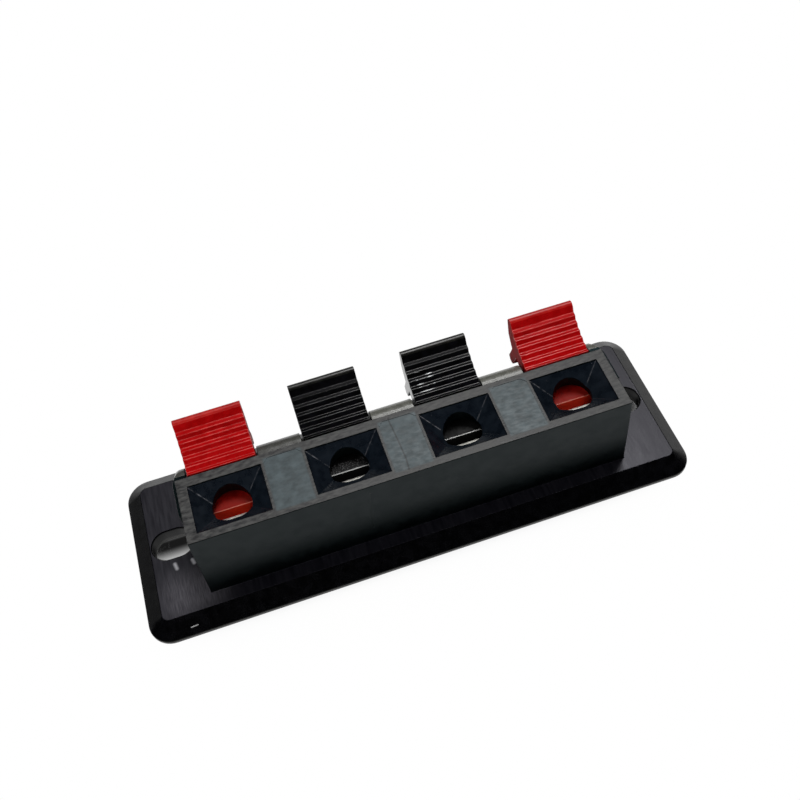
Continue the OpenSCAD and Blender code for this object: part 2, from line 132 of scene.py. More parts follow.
# Marks on the surface, and where highlights, glints, sparkle and sheen are painted, in millimetres
KNIT_LINE = ((-1.34, 0.6), (-1.3, -0.25), (-1.06, -3.75), (-0.87, -7.95), (-1.06, -10.1))
FRONT_SEAM = ((-8.1, 18.2), (-8.2, 16.5), (-8.5, 11.0), (-8.7, 7.5))
FUNNEL_CORNER = ((6.2, -0.6), (2.9, -3.9))
BRUSHED_SHEEN_MIDDLE = (-41.0, -10.5)
BRUSHED_SHEEN_HALF = (5.0, 3.5)
MOULD_MARK_GLINTS = (((-43.6, -4.1), (-43.4, -5.1)), ((-40.5, -4.3), (-40.3, -5.0)),
              ((36.9, -10.3), (37.3, -10.6)))
BEVEL_GLINT = ((-43.2, -15.85), (-42.0, -15.8))
NICKS_MIDDLE = (7.0, 5.0)
NICKS_HALF = (1.4, 1.5)
SPARKLE_HALF = 0.9

# Where gloss and painted shade change along X, and where painted light and shade on a nose change along Y
# behind its ridge, in millimetres
BEVEL_ENDS = (44.0, 49.0)
SHOULDER_LEFT = (-10.0, -18.0)
NOSE_LIT = (2.2, 0.6)
NOSE_DIM = (1.4, 3.4)
NOSE_FRONT = (0.0, -0.1)

# Sizes of the mottling and grain on a lever's outside, nose and edges, in millimetres
OUTSIDE_GRAIN = {"cloud": 1.2, "grain": 0.5, "depth": 0.002}
NOSE_GRAIN = {"cloud": 0.8, "grain": 0.3}
EDGE_GRAIN = {"cloud": 0.5, "grain": 0.5, "depth": 0.001, "stretch": (6, 1, 1)}

# Rounding and cleaning of edges, in millimetres, and angles between faces, in degrees
HOUSING_ROUND = 0.12
LEVER_ROUND = 0.1
METAL_ROUND = 0.06
WELD = 0.001
SHORT_EDGE = 0.05
TINY_EDGE = 0.003
FLAT_ANGLE = 0.5
SHARP_ANGLE = 25
SMOOTH_ANGLE = 40

# Coil springs: wire in millimetres, turns, steps in a turn and sides of the wire
WIRE = 0.5
TURNS = 5.5
COIL_STEPS = 40
WIRE_SIDES = 12

# Camera, in degrees and millimetres, for a square frame
CAMERA_AZIMUTH = -12.07
CAMERA_ELEVATION = 55.03
CAMERA_ROLL = -7.25
CAMERA_DISTANCE = 180.9
CAMERA_TARGET = (4.76, 17.29, 0.0)
CAMERA_NEAREST = 10.0
FOCAL_PIXELS = 914.4
FRAME_PIXELS = 800
SENSOR = 36.0

# Floor: half width in metres, reach of the object's shade in millimetres, and glow by openness to the sky
FLOOR_HALF = 3.0
FLOOR_SHADE = 40.0
SHADE_SAMPLES = 16
FLOOR_LEVELS = ((0.2, 0.78), (0.3, 0.93), (0.38, 0.98), (0.5, 0.993), (0.8, 1.0))

# Shade on the floor under the two slots: middles and halves, soft edge and fade to the rear in millimetres,
# then its levels, the right slot's share of them, and the openness at which the shade begins and is full
SLOT_SHADES = (((-45.0, 3.0), (4.5, 4.0)), ((47.0, 3.0), (5.5, 4.0)))
SLOT_SHADE_EDGE = 1.5
SLOT_FADE = (0.0, 4.4)
SLOT_LEVELS = (0.75, 0.01)
RIGHT_SLOT = 0.1
CLOSED_IN = (0.6, 0.45)

# Room: its light by height, the directions between which it changes from front to rear and towards a side,
# and the shares of it in front, at the left and at the right
ROOM_LEVELS = ((0.0, 0.25), (0.12, 0.15), (0.35, 0.07), (0.65, 0.10), (0.8, 0.3), (1.0, 0.45))
ROOM_TURN = (-0.3, 0.4)
ROOM_SIDE = (0.4, 0.75)
ROOM_FRONT = 0.05
ROOM_LEFT = 0.08
ROOM_RIGHT = 0.15

# Lamps, in metres and watts
KEY_PLACE = (0.13, 0.22, 0.60)
KEY_SIZE = 0.22
KEY_POWER = 2.9
FILL_PLACE = (-0.14, -0.37, 0.30)
FILL_SIZE = 0.3
FILL_POWER = 1.4


def clear_scene():
    for thing in list(bpy.data.objects):
        bpy.data.objects.remove(thing)


def add_object(name, data):
    piece = bpy.data.objects.new(name, data)
    bpy.context.scene.collection.objects.link(piece)
    return piece


def new_material(name):
    material = bpy.data.materials.new(name)
    material.use_nodes = True
    return material


def shader_of(material):
    return material.node_tree.nodes["Principled BSDF"]


def put(tree, socket, value):
    """Sets a socket to a number, or links it to another socket."""
    if isinstance(value, bpy.types.NodeSocket):
        tree.links.new(value, socket)
    else:
        socket.default_value = value


def calc(tree, operation, *values):
    node = tree.nodes.new("ShaderNodeMath")
    node.operation = operation
    for socket, value in zip(node.inputs, values):
        put(tree, socket, value)
    return node.outputs[0]


def span(tree, value, low, high, out_low=0.0, out_high=1.0):
    """Smooth step from one output to another as a value goes from low to high."""
    node = tree.nodes.new("ShaderNodeMapRange")
    node.interpolation_type = "SMOOTHSTEP"
    for name, number in (("Value", value), ("From Min", low), ("From Max", high),
                         ("To Min", out_low), ("To Max", out_high)):
        put(tree, node.inputs[name], number)
    return node.outputs["Result"]


def axes(tree, output="Object", scale=1 / MM):
    """X, Y and Z of the surface in millimetres, or of another output at its own scale."""
    place = tree.nodes.new("ShaderNodeTexCoord")
    size = tree.nodes.new("ShaderNodeVectorMath")
    size.operation = "SCALE"
    tree.links.new(place.outputs[output], size.inputs[0])
    size.inputs["Scale"].default_value = scale
    split = tree.nodes.new("ShaderNodeSeparateXYZ")
    tree.links.new(size.outputs[0], split.inputs[0])
    return split.outputs[0], split.outputs[1], split.outputs[2]


def noise(tree, size, detail=4.0, stretch=(1, 1, 1), seed=0.0):
    """Noise with features of about a size in millimetres, drawn out along each axis by its stretch."""
    place = tree.nodes.new("ShaderNodeTexCoord")
    spread = tree.nodes.new("ShaderNodeMapping")
    spread.inputs["Scale"].default_value = [1 / (size * MM * s) for s in stretch]
    spread.inputs["Location"].default_value = (seed, seed, seed)
    texture = tree.nodes.new("ShaderNodeTexNoise")
    texture.inputs["Scale"].default_value = 1.0
    texture.inputs["Detail"].default_value = detail
    tree.links.new(place.outputs["Object"], spread.inputs["Vector"])
    tree.links.new(spread.outputs["Vector"], texture.inputs["Vector"])
    return texture.outputs["Fac"]


def ramp(tree, value, stops):
    """Colours at given positions of a value."""
    node = tree.nodes.new("ShaderNodeValToRGB")
    points = node.color_ramp.elements
    while len(points) < len(stops):
        points.new(0.5)
    for point, (position, colour) in zip(points, stops):
        point.position = position
        point.color = (*colour, 1)
    tree.links.new(value, node.inputs["Fac"])
    return node.outputs["Color"]


def greys(levels):
    """Stops of a ramp that goes through shares of white."""
    return [(position, (level, level, level)) for position, level in levels]


def moulded(name, dark, light, roughness, cloud, grain, depth, stretch=(1, 1, 1), specular=0.5):
    """Moulded plastic: mottled colour and gloss, and a fine surface grain. Sizes in millimetres."""
    material = new_material(name)
    tree = material.node_tree
    shader = shader_of(material)
    shader.inputs["Specular IOR Level"].default_value = specular
    clouds = noise(tree, cloud, 8.0, stretch)
    put(tree, shader.inputs["Base Color"], ramp(tree, clouds, [(0.35, dark), (0.65, light)]))
    put(tree, shader.inputs["Roughness"], span(tree, clouds, 0.3, 0.7, *roughness))
    relief = tree.nodes.new("ShaderNodeBump")
    relief.name = "relief"
    relief.inputs["Distance"].default_value = MM
    put(tree, relief.inputs["Height"], calc(tree, "MULTIPLY", noise(tree, grain, 3.0, stretch), depth))
    put(tree, shader.inputs["Normal"], relief.outputs["Normal"])
    return material


def metal(name, dark, light, roughness):
    material = moulded(name, dark, light, roughness, cloud=0.8, grain=0.1, depth=0.002)
    shader_of(material).inputs["Metallic"].default_value = 1.0
    return material


def groove(material, mask, depth):
    """Sinks a material's surface by a depth in millimetres where the mask is 1."""
    tree = material.node_tree
    socket = tree.nodes["relief"].inputs["Height"]
    put(tree, socket, calc(tree, "MULTIPLY_ADD", mask, -depth, socket.links[0].from_socket))


def stain(material, mask, colour):
    """Lays a colour over a material's own where the mask is 1."""
    tree = material.node_tree
    socket = shader_of(material).inputs["Base Color"]
    below = socket.links[0].from_socket
    mix = tree.nodes.new("ShaderNodeMix")
    mix.data_type = "RGBA"
    put(tree, mix.inputs[0], mask)
    put(tree, mix.inputs[6], below)
    put(tree, mix.inputs[7], colour if isinstance(colour, bpy.types.NodeSocket) else (*colour, 1))
    put(tree, socket, mix.outputs[2])


def in_cell(tree, x, middle):
    """X within one pitch of the row, from the middle of a cell or of the wall between two cells."""
    return calc(tree, "WRAP", calc(tree, "SUBTRACT", x, middle), PITCH / 2, -PITCH / 2)


def box_mask(tree, place, middle, half, edge):
    """1 inside a rectangle or box of the surface, fading out across its edge. In millimetres."""
    mask = 1.0
    for socket, centre, reach in zip(place, middle, half):
        away = calc(tree, "ABSOLUTE", calc(tree, "SUBTRACT", socket, centre))
        mask = calc(tree, "MULTIPLY", span(tree, away, reach - edge, reach + edge, 1.0, 0.0), mask)
    return mask


def line_mask(tree, place, points, width):
    """1 on a line through points of the surface, and 0 beyond its width. In millimetres."""
    nearest = None
    for (ax, ay), (bx, by) in zip(points, points[1:]):
        dx, dy = bx - ax, by - ay
        square = dx * dx + dy * dy
        px = calc(tree, "SUBTRACT", place[0], ax)
        py = calc(tree, "SUBTRACT", place[1], ay)
        dot = calc(tree, "MULTIPLY_ADD", px, dx / square, calc(tree, "MULTIPLY", py, dy / square))
        share = calc(tree, "MINIMUM", calc(tree, "MAXIMUM", dot, 0.0), 1.0)
        off_x = calc(tree, "MULTIPLY_ADD", share, -dx, px)
        off_y = calc(tree, "MULTIPLY_ADD", share, -dy, py)
        far_square = calc(tree, "MULTIPLY_ADD", off_x, off_x, calc(tree, "MULTIPLY", off_y, off_y))
        far = calc(tree, "SQRT", far_square)
        nearest = far if nearest is None else calc(tree, "MINIMUM", nearest, far)
    return span(tree, nearest, 0.0, width, 1.0, 0.0)


def top_finish():
    """Grained top of the block, with smoother blue-grey panels, a knit line and painted shade along its
    front edge.
    """
    material = moulded("housing_top", (0.006, 0.006, 0.007), (0.060, 0.060, 0.058), (0.4, 0.52),
                       cloud=0.55, grain=0.25, depth=0.02, stretch=(2.5, 1, 1), specular=0.27)
    tree = material.node_tree
    x, y, _ = axes(tree)
    panels = box_mask(tree, (in_cell(tree, x, 0), x, y), (0, 0, PANEL_MIDDLE),
                      (PANEL_HALF[0], ROW_HALF, PANEL_HALF[1]), edge=0.25)
    blue_grey = ramp(tree, noise(tree, 1.1, 8.0, (1.3, 1, 1)),
                     [(0.3, (0.026, 0.038, 0.042)), (0.7, (0.060, 0.082, 0.090))])
    stain(material, panels, blue_grey)
    put(tree, tree.nodes["relief"].inputs["Strength"], calc(tree, "MULTIPLY_ADD", panels, -0.8, 1.0))
    knit = line_mask(tree, (x, y), KNIT_LINE, width=0.25)
    groove(material, knit, depth=0.02)
    stain(material, calc(tree, "MULTIPLY", knit, 0.7), (0.004, 0.004, 0.004))
    # Painted shade: a near-black stripe along the top's front edge, where it rounds over to the front wall.
    front_edge_shade = span(tree, y, BLOCK_FRONT + 0.16, BLOCK_FRONT + 0.06)
    stain(material, front_edge_shade, (0.001, 0.001, 0.001))
    return material


def funnel_finish():
    """Dark blue funnels with painted highlights along their rear corners, weaker at the right, and a few
    specks.
    """
    material = moulded("housing_funnel", (0.0028, 0.0046, 0.0075), (0.0056, 0.0086, 0.0130), (0.24, 0.36),
                       cloud=1.5, grain=0.3, depth=0.003, specular=0.26)
    tree = material.node_tree
    x, y, _ = axes(tree)
    across = in_cell(tree, x, PITCH / 2)
    # Painted highlights: pale broken lines along each funnel's rear corners, fainter at the funnel's right.
    corner_highlights = line_mask(tree, (calc(tree, "ABSOLUTE", across), y), FUNNEL_CORNER, width=0.14)
    corner_highlights = calc(tree, "MULTIPLY", corner_highlights, span(tree, across, -3.0, 3.0, 1.0, 0.35))
    corner_highlights = calc(tree, "MULTIPLY", corner_highlights, span(tree, noise(tree, 1.0), 0.35, 0.65))
    stain(material, corner_highlights, (0.12, 0.12, 0.13))
    specks = span(tree, noise(tree, 0.5, 2.0, seed=2.0), 0.74, 0.8)
    stain(material, specks, (0.06, 0.06, 0.07))
    return material


def flat_finish():
    """Flat of the flange, with brushed streaks painted lighter as a sheen on a patch at the left, and
    painted glints on a few mould marks.
    """
    material = moulded("housing_flat", (0.004, 0.0038, 0.006), (0.011, 0.0105, 0.014), (0.3, 0.4),
                       cloud=0.5, grain=0.4, depth=0.004, stretch=(1, 9, 1), specular=0.26)
    shader_of(material).inputs["Specular Tint"].default_value = (0.92, 0.91, 1.0, 1)
    tree = material.node_tree
    x, y, _ = axes(tree)
    # Painted sheen: brushed streaks on a patch at the left, lightened as a reflection would lighten them.
    brushed = span(tree, noise(tree, 0.16, 5.0, (1, 14, 1), 3.0), 0.3, 0.7, 0.3, 0.8)
    brushed_sheen = box_mask(tree, (x, y), BRUSHED_SHEEN_MIDDLE, BRUSHED_SHEEN_HALF, edge=3.0)
    stain(material, calc(tree, "MULTIPLY", brushed_sheen, brushed), (0.10, 0.095, 0.108))
    # Painted glints on small mould marks on the flat.
    for points in MOULD_MARK_GLINTS:
        stain(material, line_mask(tree, (x, y), points, width=0.5), (0.33, 0.33, 0.35))
    return material


def bevel_finish():
    """Black slope of the flange with a painted reflection along its lip and one painted glint, and with
    less gloss at both ends.
    """
    material = moulded("housing_bevel", (0.0008, 0.0008, 0.001), (0.002, 0.002, 0.0026), (0.2, 0.3),
                       cloud=1.5, grain=0.3, depth=0.001, specular=0.15)
    tree = material.node_tree
    x, y, z = axes(tree)
    # Painted reflection: a paler band along the lip at the foot of the slope.
    lip_reflection = span(tree, z, LIP_HEIGHT + 0.15, LIP_HEIGHT - 0.1)
    stain(material, lip_reflection, (0.035, 0.035, 0.033))
    # Painted glint: a short pale line on the front slope near the left.
    stain(material, line_mask(tree, (x, y), BEVEL_GLINT, width=0.12), (0.4, 0.4, 0.4))
    left_gloss = span(tree, x, -BEVEL_ENDS[0], -BEVEL_ENDS[1], 0.15, 0.05)
    right_share = span(tree, x, *BEVEL_ENDS, 1.0, 0.75)
    put(tree, shader_of(material).inputs["Specular IOR Level"],
        calc(tree, "MULTIPLY", left_gloss, right_share))
    return material


def wall_finish():
    """Dark green-black walls with a faint seam on the front."""
    material = moulded("housing_wall", (0.0003, 0.0007, 0.0008), (0.0008, 0.0014, 0.0015), (0.3, 0.38),
                       cloud=2.0, grain=0.3, depth=0.003, specular=0.11)
    shader_of(material).inputs["Specular Tint"].default_value = (0.5, 0.91, 1.0, 1)
    tree = material.node_tree
    x, _, z = axes(tree)
    groove(material, line_mask(tree, (x, z), FRONT_SEAM, width=0.35), depth=0.03)
    return material


def shoulder_finish():
    """Glossy shoulder behind the block, painted pale as a reflection and with painted shade at the left,
    and the black rear wall below it.
    """
    # Painted reflection: the shoulder's pale grey stands for the bright room it reflects at a grazing
    # angle.
    material = moulded("housing_shoulder", (0.088, 0.089, 0.076), (0.112, 0.113, 0.097), (0.22, 0.32),
                       cloud=1.2, grain=0.3, depth=0.003, specular=1.0)
    tree = material.node_tree
    x, _, z = axes(tree)
    # Painted shade: the shoulder darker towards the left end.
    left_shade = span(tree, x, *SHOULDER_LEFT, 0.0, 0.8)
    stain(material, left_shade, (0.03, 0.03, 0.027))
    rear_wall = span(tree, z, SHOULDER_FOOT + 0.5, SHOULDER_FOOT - 0.5)
    stain(material, rear_wall, (0.003, 0.003, 0.0035))
    put(tree, shader_of(material).inputs["Specular IOR Level"],
        span(tree, rear_wall, 0.0, 1.0, 0.9, 0.25))
    return material


def contact_finish():
    """Tin plate, in shadow in front of the strip's bend."""
    material = metal("contact_tin", (0.80, 0.79, 0.74), (0.97, 0.95, 0.88), (0.5, 0.6))
    tree = material.node_tree
    _, y, _ = axes(tree)
    in_front = span(tree, y, CONTACT_BEND + 0.04, CONTACT_BEND - 0.04)
    stain(material, in_front, (0.10, 0.10, 0.09))
    return material


def light_nose(material, lit, dim, front):
    """Paints light and shade on a nose: lit behind its ridge, dim further back, and another painted tone of
    light in front of the ridge.
    """
    tree = material.node_tree
    _, y, _ = axes(tree)
    for colour, (low, high) in ((lit, NOSE_LIT), (dim, NOSE_DIM), (front, NOSE_FRONT)):
        stain(material, span(tree, y, NOSE_RIDGE[0] + low, NOSE_RIDGE[0] + high), colour)


def light_ridge(material, colour):
    """Paints a highlight along a nose's ridge."""
    tree = material.node_tree
    _, y, z = axes(tree)
    ridge_end = (NOSE_RIDGE[0], NOSE_RIDGE[1] - 0.02)
    stain(material, line_mask(tree, (y, z), (NOSE_RIDGE, ridge_end), width=0.25), colour)


def red_lever():
    """Finishes of the red levers, in the order of their places. The red is painted lighter on the roll and
    edges as painted light, and darker inside the block as painted shade.
    """
    pad = moulded("lever_red_pad", (0.31, 0.0015, 0.002), (0.40, 0.003, 0.004), (0.3, 0.4),
                  specular=0.02, **OUTSIDE_GRAIN)
    # Painted shade: the same red, darker for the parts inside the block.
    inside = moulded("lever_red_inside", (0.14, 0.001, 0.001), (0.24, 0.005, 0.003), (0.4, 0.55),
                     depth=0.004, specular=0.05, **NOSE_GRAIN)
    side = moulded("lever_red_side", (0.28, 0.002, 0.002), (0.36, 0.004, 0.004), (0.4, 0.5),
                   specular=0.015, **OUTSIDE_GRAIN)
    # Painted highlight: the same red, lighter and pinker on the rounded edges.
    edge = moulded("lever_red_edge", (0.34, 0.006, 0.006), (0.56, 0.05, 0.045), (0.2, 0.3),
                   specular=0.4, **EDGE_GRAIN)
    # Painted light: the same red, lighter on the roll at the top.
    roll = moulded("lever_red_roll", (0.34, 0.004, 0.004), (0.44, 0.012, 0.008), (0.34, 0.44),
                   specular=0.3, **OUTSIDE_GRAIN)
    light_ridge(edge, (0.52, 0.13, 0.09))
    # Painted light and shade on the red noses: lit behind the ridge, dim further back, brighter in front of
    # it.
    light_nose(inside, lit=(0.22, 0.011, 0.007), dim=(0.02, 0.0004, 0.0004), front=(0.40, 0.016, 0.005))
    return [pad, inside, side, edge, roll]


def black_lever():
    """Finishes of the black levers, in the order of their places. The black is painted lighter on the
    rounded edges as painted highlight.
    """
    pad = moulded("lever_black_pad", (0.001, 0.001, 0.001), (0.003, 0.003, 0.004), (0.3, 0.4),
                  specular=0.025, **OUTSIDE_GRAIN)
    inside = moulded("lever_black_inside", (0.002, 0.002, 0.002), (0.006, 0.006, 0.006), (0.4, 0.55),
                     depth=0.006, specular=0.05, **NOSE_GRAIN)
    side = moulded("lever_black_side", (0.004, 0.004, 0.003), (0.008, 0.008, 0.006), (0.14, 0.2),
                   **OUTSIDE_GRAIN)
    # Painted highlight: the same black, lighter on the rounded edges.
    edge = moulded("lever_black_edge", (0.002, 0.002, 0.002), (0.012, 0.012, 0.013), (0.16, 0.3),
                   specular=0.35, **EDGE_GRAIN)
    roll = moulded("lever_black_roll", (0.003, 0.003, 0.0025), (0.008, 0.008, 0.006), (0.3, 0.4),
                   specular=0.4, **OUTSIDE_GRAIN)
    add_nicks(edge)
    light_ridge(edge, (0.55, 0.55, 0.54))
    # Painted light and shade on the black noses: lit behind the ridge, dim further back, darker in front of
    # it.
    light_nose(inside, lit=(0.007, 0.007, 0.007), dim=(0.0006, 0.0006, 0.0006), front=(0.002, 0.002, 0.002))
    add_sparkle(inside)
    return [pad, inside, side, edge, roll]


def add_nicks(material):
    """Bright nicks on the edges of the third lever's ridges."""
    tree = material.node_tree
    x, y, _ = axes(tree)
    area = box_mask(tree, (x, y), NICKS_MIDDLE, NICKS_HALF, edge=0.3)
    broken = span(tree, noise(tree, 0.5, 4.0, (5, 1, 1), 5.0), 0.48, 0.58)
    stain(material, calc(tree, "MULTIPLY", area, broken), (0.75, 0.77, 0.78))


def add_sparkle(material):
    """Painted sparkle: pale glints behind the ridge of the second lever's nose."""
    tree = material.node_tree
    x, y, _ = axes(tree)
    left_levers = span(tree, x, 0.5, -0.5)
    behind_ridge = box_mask(tree, (y,), (NOSE_RIDGE[0] + SPARKLE_HALF,), (SPARKLE_HALF,), edge=0.1)
    # Painted glints on the lit part of the black nose.
    specks = calc(tree, "MULTIPLY", span(tree, noise(tree, 0.25, 2.0), 0.52, 0.62), left_levers)
    stain(material, calc(tree, "MULTIPLY", specks, behind_ridge), (0.06, 0.06, 0.06))


def in_hole(place):
    """Whether a place in millimetres is in one of the wire holes."""
    across = (place.x + PITCH) % PITCH - PITCH / 2
    near_axis = math.hypot(across, place.y - HOLE_LINE) < FUNNEL_HALF_WIDTH
    return near_axis and place.z > BLOCK_TOP - 2 * FUNNEL_DEPTH


def housing_region(face):
    """Which of the housing's finishes a face has."""
    centre = face.calc_center_median() / MM
    upward = face.normal.z
    on_row = abs(centre.y - HOLE_LINE) < FUNNEL_HALF_WIDTH
    if upward > LEVEL and centre.z > BLOCK_TOP - 2 * PANEL_DEPTH:
        return TOP
    if abs(upward) < STEEP and in_hole(centre):
        return WALL
    if on_row and BLOCK_TOP - FUNNEL_DEPTH < centre.z < BLOCK_TOP and upward > -STEEP:
        return FUNNEL
    if upward > LEVEL and abs(centre.z - FLANGE_FLAT) < NEAR:
        return FLAT
    if centre.z < FLANGE_FLAT:
        return BEVEL
    if centre.y > BLOCK_REAR and face.normal.y > -STEEP and abs(face.normal.x) < SIDEWAYS:
        return SHOULDER
    return WALL


def lever_region(face):
    """Which of a lever's finishes a face has. Rounded edges get theirs when they are made."""
    centre = face.calc_center_median() / MM
    off_roll = abs((centre.yz - Vector(ROLL_AXIS)).length - ROLL_RADIUS)
    if off_roll < ROLL_NEAR and centre.y > ROLL_AXIS[0] - ROLL_REACH:
        return ROLL
    if centre.z < BLOCK_TOP and centre.y < BLOCK_REAR:
        return INSIDE
    return SIDE if abs(face.normal.x) > SIDEWAYS else PAD


def inside_block(place):
    """Whether a place in millimetres is in the block's hollow."""
    rear = REAR_TOP[0] + (REAR_TOP[1] - place.z) * REAR_SLOPE - REAR_WALL
    between_walls = -HOLLOW_HALF < place.x < HOLLOW_HALF and BLOCK_FRONT + FRONT_WALL < place.y < rear
    return between_walls and place.z < HOLLOW_TOP


def inside_cover(place):
    """Whether a place in millimetres is on the cover's hidden side."""
    return place.z > COVER_BACK


def inside_pocket(place):
    """Whether a place in millimetres is at a lever's spring pocket."""
    return place.z < POCKET_TOP and place.y > POCKET_FRONT


def is_panel_step(face):
    """Whether a face is the low step round a panel, which is too thin to round."""
    heights = [vert.co.z for vert in face.verts]
    return max(heights) - min(heights) < 2 * PANEL_DEPTH * MM and abs(face.normal.z) < UPRIGHT


def is_slot_chamfer(edge):
    """Whether an edge belongs to the chamfer of a screw slot."""
    return all(abs(vert.co.y) < SLOT_HALF_WIDTH * MM and abs(vert.co.x) > SLOT_START * MM
               and FLANGE_FLAT - CHAMFER_DEPTH < vert.co.z / MM < FLANGE_FLAT + NEAR for vert in edge.verts)


def rounded_edges(shape, hidden):
    """Sharp edges that show, apart from those of the shallow panels and of the slots' chamfers."""
    chosen = []
    for edge in shape.edges:
        if not edge.is_manifold or edge.calc_face_angle(0) < math.radians(SHARP_ANGLE):
            continue
        if hidden and hidden((edge.verts[0].co + edge.verts[1].co) / 2 / MM):
            continue
        if not is_slot_chamfer(edge) and not any(is_panel_step(face) for face in edge.link_faces):
            chosen.append(edge)
    return chosen


def finish_shape(mesh, rounding, pick, edge_finish, hidden):
    """Gives each face its finish, and rounds the edges that show."""
    shape = bmesh.new()
    shape.from_mesh(mesh)
    bmesh.ops.remove_doubles(shape, verts=shape.verts, dist=WELD * MM)
    bmesh.ops.dissolve_limit(shape, angle_limit=math.radians(FLAT_ANGLE), verts=shape.verts,
                             edges=shape.edges)
    bmesh.ops.dissolve_degenerate(shape, dist=SHORT_EDGE * MM, edges=shape.edges)
    for face in shape.faces:
        face.material_index = pick(face) if pick else 0
        face.smooth = True
    bmesh.ops.bevel(shape, geom=rounded_edges(shape, hidden), offset=rounding * MM, offset_type="OFFSET",
                    segments=2, profile=0.5, affect="EDGES", clamp_overlap=False, loop_slide=True,
                    material=edge_finish)
    bmesh.ops.remove_doubles(shape, verts=shape.verts, dist=TINY_EDGE * MM)
    bmesh.ops.dissolve_degenerate(shape, dist=TINY_EDGE * MM, edges=shape.edges)
    shape.to_mesh(mesh)
    shape.free()
    mesh.set_sharp_from_angle(angle=math.radians(SMOOTH_ANGLE))


def dress(solid, node, name, body, finishes, rounding, pick=None, edge_finish=-1, hidden=None):
    """Copy of a solid with its finishes and rounded edges, which then stands for the solid.

    Rounded edges take the finish beside them where edge_finish is -1.
    """
    mesh = solid.data.copy()
    mesh.name = name
    mesh.materials.clear()
    for finish in finishes:
        mesh.materials.append(finish)
    finish_shape(mesh, rounding, pick, edge_finish, hidden)
    piece = add_object(name, mesh)
    normals = piece.modifiers.new("flat_faces", "WEIGHTED_NORMAL")
    normals.keep_sharp = True
    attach(piece, body)
    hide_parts(node)


def coil_rise(turn, length):
    """Way along a coil's axis after some turns, with one closed turn at each end. In millimetres."""
    free = length - 3 * WIRE
    open_turns = TURNS - 2
    middle = min(max(turn - 1, 0), open_turns)
    return WIRE / 2 + min(turn, 1) * WIRE + middle * free / open_turns + max(turn - TURNS + 1, 0) * WIRE


def coil_path(low, high):
    """Points along the wire of a coil that fills a box, in millimetres."""
    middle = (low + high) / 2
    radius = (high.z - low.z - WIRE) / 2
    path = []
    for k in range(round(TURNS * COIL_STEPS) + 1):
        angle = 2 * math.pi * k / COIL_STEPS
        path.append(Vector((middle.x + radius * math.cos(angle),
                            low.y + coil_rise(k / COIL_STEPS, high.y - low.y),
                            middle.z + radius * math.sin(angle))))
    return path


def wire_rings(shape, path, low, high):
    """Rings of corners round the wire, ground flat where they pass the ends of the box."""
    middle = (low + high) / 2
    rings = []
    for k, point in enumerate(path):
        ahead = (path[min(k + 1, len(path) - 1)] - path[max(k - 1, 0)]).normalized()
        outward = Vector((point.x - middle.x, 0, point.z - middle.z)).normalized()
        side = ahead.cross(outward).normalized()
        outward = side.cross(ahead)
        ring = []
        for s in range(WIRE_SIDES):
            turn = 2 * math.pi * s / WIRE_SIDES
            spot = point + (outward * math.cos(turn) + side * math.sin(turn)) * WIRE / 2
            spot.y = min(max(spot.y, low.y), high.y)
            ring.append(shape.verts.new(spot * MM))
        rings.append(ring)
    return rings


def coil_mesh(name, low, high):
    """Round wire wound into a coil that fills a box, in millimetres."""
    shape = bmesh.new()
    rings = wire_rings(shape, coil_path(low, high), low, high)
    for first, second in zip(rings, rings[1:]):
        for s in range(WIRE_SIDES):
            shape.faces.new((first[s], first[s - 1], second[s - 1], second[s]))
    shape.faces.new(rings[0])
    shape.faces.new(reversed(rings[-1]))
    bmesh.ops.recalc_face_normals(shape, faces=shape.faces)
    for face in shape.faces:
        face.smooth = len(face.verts) == 4
    mesh = bpy.data.meshes.new(name)
    shape.to_mesh(mesh)
    shape.free()
    return mesh


def coil_spring(i, material):
    """Coil between the lever's pocket and its seat on the rear wall."""
    low, high = (Vector(corner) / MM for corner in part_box(f"spring_{i}"))
    mesh = coil_mesh(f"coil_spring_{i}", low, high)
    mesh.materials.append(material)
    piece = add_object(mesh.name, mesh)
    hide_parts(f"spring_{i}")
    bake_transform(piece)


def add_camera():
    azimuth, elevation, roll = (math.radians(a) for a in (CAMERA_AZIMUTH, CAMERA_ELEVATION, CAMERA_ROLL))
    target = Vector(CAMERA_TARGET) * MM
    back = Vector((math.sin(azimuth) * math.cos(elevation), -math.cos(azimuth) * math.cos(elevation),
                   math.sin(elevation)))
    level = Vector((math.cos(azimuth), math.sin(azimuth), 0))
    rise = back.cross(level)
    right = level * math.cos(roll) + rise * math.sin(roll)
    up = back.cross(right)
    data = bpy.data.cameras.new("camera")
    data.sensor_width = SENSOR
    data.lens = FOCAL_PIXELS / FRAME_PIXELS * SENSOR
    data.clip_start = CAMERA_NEAREST * MM
    camera = add_object("camera", data)
    camera.matrix_world = Matrix((right, up, back)).transposed().to_4x4()
    camera.location = target + back * CAMERA_DISTANCE * MM
    bpy.context.scene.camera = camera


def floor_glow(tree):
    """Level of the floor's glow: less where the object keeps light from it, and least under the slots."""
    shade = tree.nodes.new("ShaderNodeAmbientOcclusion")
    shade.samples = SHADE_SAMPLES
    shade.inputs["Distance"].default_value = FLOOR_SHADE * MM
    openness = shade.outputs["AO"]
    x, y, _ = axes(tree)
    slots = calc(tree, "MAXIMUM", *(box_mask(tree, (x, y), middle, half, SLOT_SHADE_EDGE)
                                    for middle, half in SLOT_SHADES))
    under_slots = calc(tree, "MULTIPLY", slots, span(tree, openness, *CLOSED_IN))
    to_the_right = span(tree, x, -PITCH / 2, PITCH / 2, 1.0, RIGHT_SLOT)
    dim = calc(tree, "MULTIPLY", span(tree, y, *SLOT_FADE, *SLOT_LEVELS), to_the_right)
    level = tree.nodes.new("ShaderNodeMix")
    put(tree, level.inputs[0], under_slots)
    put(tree, level.inputs[2], ramp(tree, openness, greys(FLOOR_LEVELS)))
    put(tree, level.inputs[3], dim)
    return level.outputs[0]


